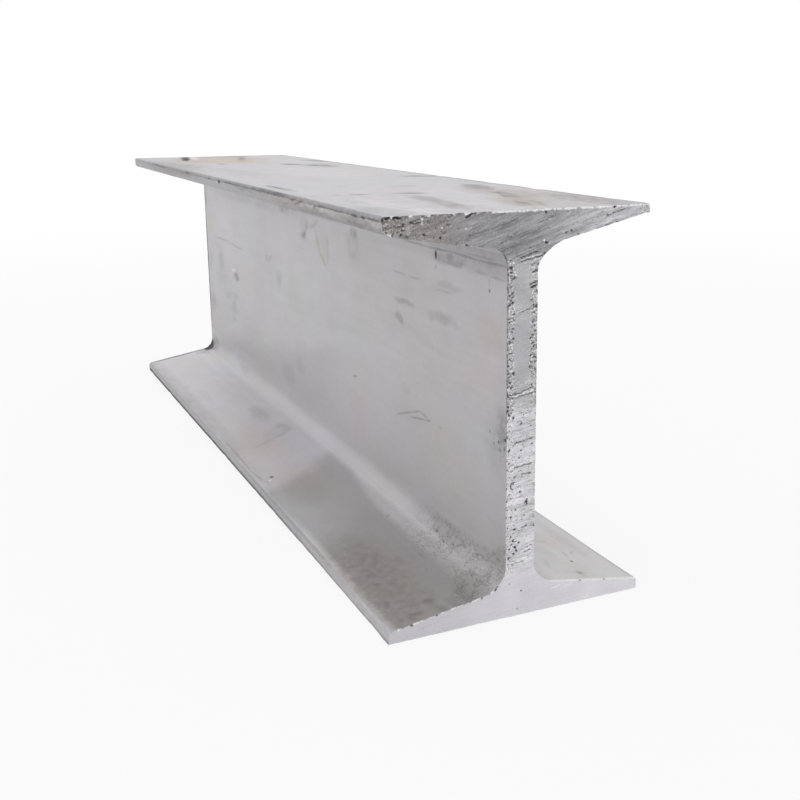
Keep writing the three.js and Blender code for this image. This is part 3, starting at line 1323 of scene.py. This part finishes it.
def top_look(board, place):
    """The top of the beam, mottled towards the near end and stained at the far one."""
    flat = flat_place(board, place.along, place.x + HALF_WIDTH)
    dirt, stain = marks_on(board, flat, TOP_MARKS, wander(board, place))
    mottle = board.grain(place.vector, (3.2, 4.5, 3.2), detail=4.0, rough=0.7, seed=26)
    tone = 0.92 + 0.40 * (mottle - 0.5) * (0.35 + board.step(place.along, 90, 10))
    tone = tone - board.step(place.x, -29, -35.2, 0.06)
    return Look(tone, dirt, stain)


def toe_look(board, place):
    """The toes. The top flange's show the line of a lap just under their upper edge."""
    _, along = side_of_web(board, place)
    top = board.step(place.z, BEAM_DEPTH / 2 - 1, BEAM_DEPTH / 2 + 1)
    flat = flat_place(board, along, place.z)
    dirt, stain = marks_on(board, flat, TOE_MARKS, wander(board, place))
    speck = board.grain(place.vector, (1, 1.6, 0.5), detail=2.0, rough=0.6, seed=20)
    ripple = board.grain(place.vector, (1, 5, 1), detail=3.0, seed=36)
    height = place.z + 0.7 * (ripple - 0.5)
    height = height + board.step(along, 90, 10, 0.23)
    lap = top * board.window(height, 100.45, 100.8, 0.18)
    lap = lap * (0.5 + board.step(speck, 0.36, 0.56, 0.5))
    lap = lap * (0.30 + board.step(along, 235, 160, 0.70))

    # The top flange's toes darken above the lap, and below it towards the near end.
    over_lap = board.step(height, 100.6, 101.0) * (1 + board.step(along, 130, 80))
    under_lap = board.step(height, 99.3, 98.6) * board.step(along, 78, 52)
    mottle = 0.5 * (board.grain(place.vector, (1, 2.4, 0.9), detail=3.0, rough=0.7, seed=37) - 0.5)
    lighter = board.step(along, 80, 15, 0.05)
    tone = 1 - top * (0.285 - lighter + 0.12 * under_lap + 0.10 * over_lap)
    tone = tone + mottle * board.step(along, 190, 40)

    # The foot's toes are painted with shade: darker downwards, most along the low edge, and along
    # their upper edge, and more so further from the near end.
    further = board.step(along, 8, 120)
    furthest = board.step(along, 120, 240)
    low_edge = board.step(place.z - 0.6 * further, 1.3, 0.3)
    low_edge = low_edge * (0.35 + 0.13 * further + 0.14 * furthest)
    low_edge = low_edge + furthest * board.step(place.z, 2.6, 0.8, 0.13)
    shaded = further * (0.10 + board.step(place.z, 2.9, 1.0, 0.20))
    upper = board.step(along, 12, 60, 0.16) - board.step(along, 100, 150, 0.07)
    shaded = shaded + board.step(place.z, 2.5, 3.3) * upper
    tone = tone - (1 - top) * (0.13 + shaded + low_edge)
    return Look(tone, (dirt + 0.62 * lap) * top, stain * top, 0.0, -0.7 * lap)


def web_look(board, place):
    """The web: its marks, the crumbled root below it, and its shades by height and distance."""
    left, along = side_of_web(board, place)
    pushes = wander(board, place)
    dirt, stain = marks_on(board, flat_place(board, along, place.z), WEB_MARKS, pushes)
    strength = 0.45 + 0.55 * left
    root = crumbled_root(board, place, left, along, pushes)

    # Duller below a line that falls towards the far end, shaded under the near end of the top
    # flange, paler high up past it, and with a slightly darker band along the root.
    duller = board.step(place.z + 0.18 * along, 70, 62)
    duller = duller * board.step(along, 85, 150)
    shaded = board.step(place.z, 84, 90) * board.step(along, 95, 30)
    paler = board.step(place.z, 50, 80) * board.step(along, 50, 150)
    far_low = board.step(place.z, 60, 30) * board.step(along, 150, 230)
    above_root = board.step(place.z, 11, 21)
    root_band = board.window(place.z, 8, 12, 1.5) * board.window(along, 90, 130, 15)
    tone = (1 - 0.12 * duller * above_root) * (0.99 - 0.14 * shaded) * (1 + 0.07 * paler)
    tone = tone * (1 - 0.07 * far_low * above_root) * (1 - board.step(along, 9, 2, 0.03))
    tone = tone * (1 - 0.035 * root_band)
    dirt = dirt * strength + root.dirt
    return Look(tone * root.tone, dirt, stain * strength, root.dull, root.relief)


def foot_look(board, place):
    """The inner face of the bottom flange, with a painted highlight along the edge of the near toe.
    """
    left, along = side_of_web(board, place)
    pushes = wander(board, place)
    from_toe = HALF_WIDTH - abs(place.x)
    right = 1 - left
    dirt, stain = marks_on(board, flat_place(board, along, from_toe), FOOT_MARKS, pushes)
    root = crumbled_root(board, place, left, along, pushes)

    # The painted highlight along the near toe's edge, the painted shade on the lip that follows
    # on from it, the painted shade towards the root, and a painted highlight in a band beside it.
    edge = from_toe + 1.6 * (pushes.mottle - 0.5)
    pale = board.step(edge, 3.2, 1.2) * board.step(along, 84, 40) * left
    lip = board.step(from_toe, 2.8, 1.3) * board.step(along, 70, 110, 0.09)
    near_root = board.step(from_toe, 26, 30, 0.07) * board.step(along, 80, 130)
    beside_root = board.window(from_toe, 22.5, 27.5, 1.5) * board.step(along, 85, 110)
    near_root = near_root - 0.05 * beside_root
    # Painted light and shade: the right half is painted lighter all over, and on the right the skin
    # is painted darker towards the root.
    tone = root.tone * (1.08 + 0.16 * right) * (1 + 0.33 * pale - lip) * (1 - near_root)
    tone = tone * (1 - right * board.step(from_toe, 20, 30, 0.07))

    # The right half of the foot has marks of its own near the sawn end.
    flat = flat_place(board, place.along, from_toe)
    right_dirt, right_stain = marks_on(board, flat, RIGHT_FOOT_MARKS, pushes)
    dirt = dirt * left + right_dirt * right + root.dirt
    stain = stain * left + right_stain * right
    return Look(tone, dirt, stain, root.dull + 0.3 * right, root.relief)


def crumbled_root(board, place, left, along, pushes):
    """The near part of the left foot is duller, and by its root the scale has crumbled."""
    # The duller patch: its end is slanted, and it stays further from the root as it goes.
    out = abs(place.x)
    drift = board.grain(place.vector, 22, detail=3.0, seed=17) - 0.5
    slanted = along + 30 * drift - 0.9 * (HALF_WIDTH - out)
    patch = board.step(slanted, 105, 90) * left
    from_root = out - 0.6 - board.step(along, 108, 62, 4.4)
    patch = patch * board.step(from_root, 5.0, 8.5) * board.step(place.z, 16, 11)

    # Where the scale has crumbled: along the root, and in a spot half way up the web's end.
    root = left * board.step(along + 20 * drift, 60, 36)
    upper = place.z + 4 * drift - board.step(along, 8, 1, 4.5)
    lower = out - board.step(along, 14, 2, 4.0)
    root = root * board.step(lower, 14, 10.5) * board.step(upper, 15.7, 13.3)

    # The crumbs: cells with cracks between them, under specks of fine grain.
    pushed = board.vector("ADD", place.vector, pushes.near)
    grains = board.vector("MULTIPLY", pushed, (1.2, 0.9, 1.2))
    crumb = board.node(
        "ShaderNodeTexVoronoi", {"feature": "DISTANCE_TO_EDGE"},
        {"Vector": grains, "Scale": 1.0}, "Distance",
    )
    speck = board.grain(place.vector, 0.6, detail=2.0, rough=0.6, seed=20)
    crowd = board.grain(place.vector, 5, detail=2.0, seed=22)
    clump = board.grain(place.vector, 2.2, detail=2.0, seed=24)
    web_end = board.step(along, 9, 2) * board.window(place.z, 40.5, 49, 2) * left
    rough = board.step(crowd, 0.30, 0.48) + board.step(along, 16, 6)
    rough = root * board.math("MINIMUM", rough, 1.0) + web_end * board.step(crowd, 0.36, 0.52)
    cracks = board.step(crumb, 0.16, 0.03) * board.step(clump, 0.44, 0.58)
    specks = board.step(speck, 0.62, 0.72) * board.step(clump, 0.40, 0.54)
    pale = board.step(speck, 0.48, 0.36)
    nearer = board.step(slanted, 62, 34) * patch
    # Over the crumbled root the skin is painted a little darker, painted shade that tones down the
    # fillet's highlight.
    tone = (1 - 0.19 * patch) * (1 - 0.10 * nearer) * (1 - 0.10 * root) * (1 + 0.16 * pale * rough)
    relief = rough * (0.5 * speck + 1.2 * board.step(crumb, 0.0, 0.25))
    dirt = (0.42 * cracks + 0.75 * specks) * rough
    return Look(tone, dirt, 0.0, 0.5 * patch + 0.5 * root, relief)


LOOKS_BY_REGION = {
    "top": top_look, "toe": toe_look, "web": web_look, "foot": foot_look, "plain": plain_look,
}


def rolled_steel(finish, region):
    """Pickled mill skin of one region: pale, dull and slightly violet, with the region's marks."""
    board = Board("rolled_steel_" + region)
    place = beam_place(board)
    look = LOOKS_BY_REGION[region](board, place)

    # Brightness, from broad drifts down to fine grain; marks of negative strength lighten it.
    drift = board.grain(place.vector, 70, detail=2.0)
    cloud = board.grain(place.vector, (13, 24, 13), detail=4.0, rough=0.62, seed=3)
    streak = board.grain(place.vector, (2.2, 55, 2.2), detail=3.0, seed=6)
    grain = board.grain(place.vector, 1.0, detail=3.0, rough=0.7, seed=9)
    tone = 1 + 0.14 * (drift - 0.5) + 0.16 * (cloud - 0.5)
    tone = (tone + 0.08 * (streak - 0.5) + 0.15 * (grain - 0.5)) * look.tone
    tone = tone * (1 + board.math("MAXIMUM", 0 - look.dirt, 0.0))

    # Colour, under the stains, the dirt and painted shade of the marks, and the painted highlight
    # and shade along the rim of the sawn ends.
    hue = board.step(board.grain(place.vector, 45, detail=2.0, seed=30), 0.35, 0.7)
    blush = board.grain(place.vector, 28, detail=3.0, seed=31) - 0.5
    base = board.blend(hue, finish.rolled_colour, warmer(finish.rolled_colour))
    base = board.blend(look.dull, base, finish.dull_colour)
    tint = board.point(tone * (1 + 0.08 * blush), tone * (1 - 0.04 * blush), tone)
    shade = stained(board, board.vector("MULTIPLY", base, tint), look.stain, finish.stain_colour)
    burr = board.attribute("burr")
    dirt = look.dirt + board.step(burr, -0.1, -0.8, 0.75)
    colour = board.blend(0.80 * dirt, shade, finish.dirt_colour)
    colour = board.blend(board.step(burr, 0.2, 1.0), colour, finish.burr_colour)

    wear = board.grain(place.vector, (3, 9, 3), detail=4.0, rough=0.65, seed=40)
    roughness = finish.roughness + 0.22 * (wear - 0.5) + 0.25 * dirt + 0.10 * look.dull
    metallic = finish.metallic * (1 - 0.8 * dirt)

    # Relief too fine for the mesh: peened skin, scuffs along the beam and small pocks.
    scuff = board.grain(place.vector, (0.5, 9, 0.5), detail=3.0, rough=0.6, seed=44)
    peen = board.grain(place.vector, 1.6, detail=4.0, rough=0.6, seed=47)
    pock = board.step(board.grain(place.vector, 2.4, detail=1.0, seed=50), 0.30, 0.22)
    height = 0.45 * peen + 0.22 * scuff - 0.5 * pock + look.relief
    bump = board.node(
        "ShaderNodeBump", inputs={"Strength": 0.6, "Distance": 0.13 * MM, "Height": height},
    )
    finish_surface(board, colour, roughness, metallic, bump)
    return board.material


def stained(board, colour, share, tint):
    """A colour under a warm stain, which tints it and takes a little of its light."""
    return board.vector("MULTIPLY", colour, board.blend(share, (1.0, 1.0, 1.0), tint))


def warmer(colour):
    """The rolled skin's colour where it leans away from violet."""
    red, green, blue = colour
    return red, green * 0.99, blue * 0.955


FAR_END_SEED = 37.0


def sawn_steel(finish):
    """Bare sawn metal: grooved and grey at the top flange, pitted in the web and smooth at the
    foot."""
    board = Board("sawn_steel")
    place = beam_place(board)
    x, z = place.x, place.z
    tone, sawing, gritty, pitting, burr = (board.attribute(name) for name in LOOKS)
    # The far end reads its grain from elsewhere in the noise.
    seed = board.step(place.along, HALF_LENGTH - 1, HALF_LENGTH + 1, FAR_END_SEED)
    slope = SAW_SLOPE_LOW + board.step(z, *SAW_SWING, SAW_SLOPE_HIGH - SAW_SLOPE_LOW)
    lines = board.point(z - slope * x, x + slope * z, seed)

    # Streaks and bands follow the saw's lines; the grit does not.
    streak = board.grain(lines, (0.32, 3.6, 1), detail=2.0, rough=0.6, seed=2)
    band = board.grain(lines, (1.3, 14, 1), detail=3.0, rough=0.6, seed=5)
    tear = board.grain(lines, (0.30, 1.2, 1), detail=2.0, rough=0.7, seed=14)
    grit = board.grain(place.vector, 0.40, detail=1.0, rough=0.7, seed=8)
    cloud = board.grain(place.vector, 6, detail=3.0, seed=11)
    top = board.step(z, *UNDER_TOP_FLANGE)
    torn = board.window(z, 14.0, 54.5, 1.2)

    texture = sawing * (1.3 * (streak - 0.5) + (0.5 + 0.6 * top) * (band - 0.5))
    texture = texture + (1.1 + 0.8 * top) * gritty * (grit - 0.5)
    tone = tone * (1 + texture + 0.10 * (cloud - 0.5))
    brown = top * board.step(x, -6, -26) * (0.25 + 0.7 * cloud)
    shade = board.vector("MULTIPLY", tuple(finish.sawn_colour), board.point(tone, tone, tone))
    shade = stained(board, shade, brown, finish.stain_colour)
    # Painted highlights: the burrs, the bright rim and the grit's glints are blended towards the
    # highlight colour, and so are the lighter torn lines.
    bright = board.step(burr, 0.05, 0.7) + (0.9 - 0.4 * top) * gritty * board.step(grit, 0.45, 0.34)
    bright = bright + 0.42 * torn * board.step(tear, 0.55, 0.66)
    shade = board.blend(bright, shade, finish.burr_colour)
    # Painted shade: the pits are painted dark, as is the dark side of the rim; the grit's dark
    # specks and the dark torn lines darken it too.
    dirt = board.step(pitting, 0.10, 0.80, 0.94)
    dirt = dirt + (0.6 - 0.15 * top) * gritty * board.step(grit, 0.56, 0.68)
    dirt = dirt + 0.58 * torn * board.step(tear, 0.42, 0.31) + board.step(burr, -0.1, -0.8, 0.7)
    colour = board.blend(dirt, shade, finish.pit_colour)

    roughness = 0.46 + 0.25 * (grit - 0.5) + 0.2 * dirt
    metallic = 0.40 * (1 - 0.8 * dirt)
    height = sawing * (0.9 * streak + 0.5 * band) + (0.3 + gritty) * 0.6 * grit
    bump = board.node(
        "ShaderNodeBump", inputs={"Strength": 0.6, "Distance": 0.14 * MM, "Height": height},
    )
    finish_surface(board, colour, roughness, metallic, bump)
    return board.material


def finish_surface(board, colour, roughness, metallic, bump):
    shader = board.node(
        "ShaderNodeBsdfPrincipled",
        inputs={
            "Base Color": colour, "Roughness": roughness, "Metallic": metallic, "Normal": bump,
        },
    )
    board.node("ShaderNodeOutputMaterial", inputs={"Surface": shader})


# ---------------------------------------------------------------------------------------------
# The stage
# ---------------------------------------------------------------------------------------------

# The camera looks along its azimuth, counted from +y towards +x, and down by its elevation.
CAMERA_AT = (-122.63, -369.65, 124.95)
CAMERA_AZIMUTH = 25.704
CAMERA_ELEVATION = 13.084
CAMERA_ROLL = -0.192
LENS = 48.42
SENSOR = 36.0
SHIFT = (-0.0669, -0.0555)


def make_camera():
    azimuth, elevation, roll = (
        math.radians(angle) for angle in (CAMERA_AZIMUTH, CAMERA_ELEVATION, CAMERA_ROLL)
    )
    data = bpy.data.cameras.new("camera")
    data.lens = LENS
    data.sensor_width = SENSOR
    data.shift_x, data.shift_y = SHIFT
    data.clip_start = 0.01
    camera = bpy.data.objects.new("camera", data)
    turn = (
        Matrix.Rotation(-azimuth, 4, "Z")
        @ Matrix.Rotation(math.pi / 2 - elevation, 4, "X")
        @ Matrix.Rotation(roll, 4, "Z")
    )
    camera.matrix_world = Matrix.Translation(Vector(CAMERA_AT) * MM) @ turn
    bpy.context.scene.collection.objects.link(camera)
    bpy.context.scene.camera = camera


LAMPS_AIM_AT = (0, 0, 0.05)


def make_lamp(name, place, size, power):
    data = bpy.data.lights.new(name, "AREA")
    data.shape = "SQUARE"
    data.size = size
    data.energy = power
    lamp = bpy.data.objects.new(name, data)
    direction = Vector(LAMPS_AIM_AT) - Vector(place)
    lamp.location = place
    lamp.rotation_euler = direction.to_track_quat("-Z", "Y").to_euler()
    bpy.context.scene.collection.objects.link(lamp)


def seen_directly(board):
    """1 for rays from the camera, or by way of gloss or glass, and 0 for the light's own rays."""
    rays = [
        board.node("ShaderNodeLightPath", output=name)
        for name in ("Is Camera Ray", "Is Glossy Ray", "Is Transmission Ray")
    ]
    return board.math("MINIMUM", rays[0] + rays[1] + rays[2], 1.0)


# How many metres the floor reaches from the beam, how white it shows beside the beam, and between
# which distances from the beam it fades into full white.
FLOOR_REACH = 6.0
FLOOR_WHITENESS = 0.86
FLOOR_FADE = (0.25, 0.9)


def make_floor(colour):
    """A pale floor that fades into the white of the room, and keeps the beam's soft shadow."""
    mesh = bpy.data.meshes.new("floor")
    quarters = ((-1, -1), (1, -1), (1, 1), (-1, 1))
    corners = [(FLOOR_REACH * x, FLOOR_REACH * y, 0) for x, y in quarters]
    mesh.from_pydata(corners, [], [(0, 1, 2, 3)])
    floor = bpy.data.objects.new("floor", mesh)
    bpy.context.scene.collection.objects.link(floor)

    board = Board("floor")
    place = board.node("ShaderNodeTexCoord", output="Object")
    away = board.vector("LENGTH", place, output="Value")
    diffuse = board.node("ShaderNodeBsdfDiffuse", inputs={"Color": opaque(colour)})
    white = board.node("ShaderNodeEmission", inputs={"Color": (1, 1, 1, 1), "Strength": 1.0})
    faded = FLOOR_WHITENESS + board.step(away, *FLOOR_FADE, 1 - FLOOR_WHITENESS)
    share = seen_directly(board) * faded
    mixed = board.node("ShaderNodeMixShader", inputs={0: share, 1: diffuse, 2: white})
    board.node("ShaderNodeOutputMaterial", inputs={"Surface": mixed})
    mesh.materials.append(board.material)


class WorldBoard(Board):
    """The node tree of the world."""

    def __init__(self, name):
        self.world = bpy.data.worlds.new(name)
        self.world.use_nodes = True
        self.tree = self.world.node_tree
        self.tree.nodes.clear()


def make_room(strength):
    """An even white room, whose light is set apart from its look."""
    board = WorldBoard("room")
    lighting = board.node(
        "ShaderNodeBackground", inputs={"Color": (1, 1, 1, 1), "Strength": strength}
    )
    look = board.node("ShaderNodeBackground", inputs={"Color": (1, 1, 1, 1), "Strength": 1.0})
    share = seen_directly(board)
    mixed = board.node("ShaderNodeMixShader", inputs={0: share, 1: lighting, 2: look})
    board.node("ShaderNodeOutputWorld", inputs={"Surface": mixed})
    bpy.context.scene.world = board.world


# ---------------------------------------------------------------------------------------------
# Operators, panel and registration
# ---------------------------------------------------------------------------------------------


class BEAM_OT_rolled_bar(bpy.types.Operator):
    """Make the rolled bar with its sawn ends and its steel finishes"""

    bl_idname = "beam.rolled_bar"
    bl_label = "Rolled bar"

    def execute(self, context):
        scene = context.scene
        mesh = beam_mesh(scene.beam_sizes, scene.beam_finish)
        for region in REGIONS:
            mesh.materials.append(rolled_steel(scene.beam_finish, region))
        mesh.materials.append(sawn_steel(scene.beam_finish))
        beam = bpy.data.objects.new("rolled_beam", mesh)
        scene.collection.objects.link(beam)
        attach(beam, "root")
        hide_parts("i_beam")
        return {"FINISHED"}


class BEAM_OT_stage(bpy.types.Operator):
    """Make the floor, the soft light, the white room and the camera"""

    bl_idname = "beam.stage"
    bl_label = "Stage"

    def execute(self, context):
        settings = context.scene.beam_stage
        make_camera()
        make_floor(tuple(settings.floor_colour))
        make_room(settings.room_light)
        make_lamp("overhead", (-0.25, 0.35, 1.5), size=1.5, power=settings.overhead_light)
        make_lamp("side", (-0.3, -1.6, 0.7), size=1.2, power=settings.side_light)
        context.scene.view_settings.view_transform = "Standard"
        return {"FINISHED"}


class BEAM_PT_panel(bpy.types.Panel):
    """The beam's sizes, its finish and its stage"""

    bl_idname = "BEAM_PT_panel"
    bl_label = "Rolled steel beam"
    bl_space_type = "VIEW_3D"
    bl_region_type = "UI"
    bl_category = "Beam"

    def draw(self, context):
        groups = (
            (context.scene.beam_sizes, BEAM_OT_rolled_bar),
            (context.scene.beam_finish, None),
            (context.scene.beam_stage, BEAM_OT_stage),
        )
        for settings, operator in groups:
            column = self.layout.column(align=True)
            for name in type(settings).__annotations__:
                column.prop(settings, name)
            if operator:
                self.layout.operator(operator.bl_idname)


CLASSES = (BeamSizes, SteelFinish, StageSettings, BEAM_OT_rolled_bar, BEAM_OT_stage, BEAM_PT_panel)
SETTINGS = {"beam_sizes": BeamSizes, "beam_finish": SteelFinish, "beam_stage": StageSettings}


def register():
    for cls in CLASSES:
        bpy.utils.register_class(cls)
    for name, group in SETTINGS.items():
        setattr(bpy.types.Scene, name, bpy.props.PointerProperty(type=group))


def unregister():
    for name in SETTINGS:
        delattr(bpy.types.Scene, name)
    for cls in reversed(CLASSES):
        bpy.utils.unregister_class(cls)


def main():
    register()
    bpy.ops.beam.rolled_bar()
    bpy.ops.beam.stage()


if __name__ == "__main__":
    main()
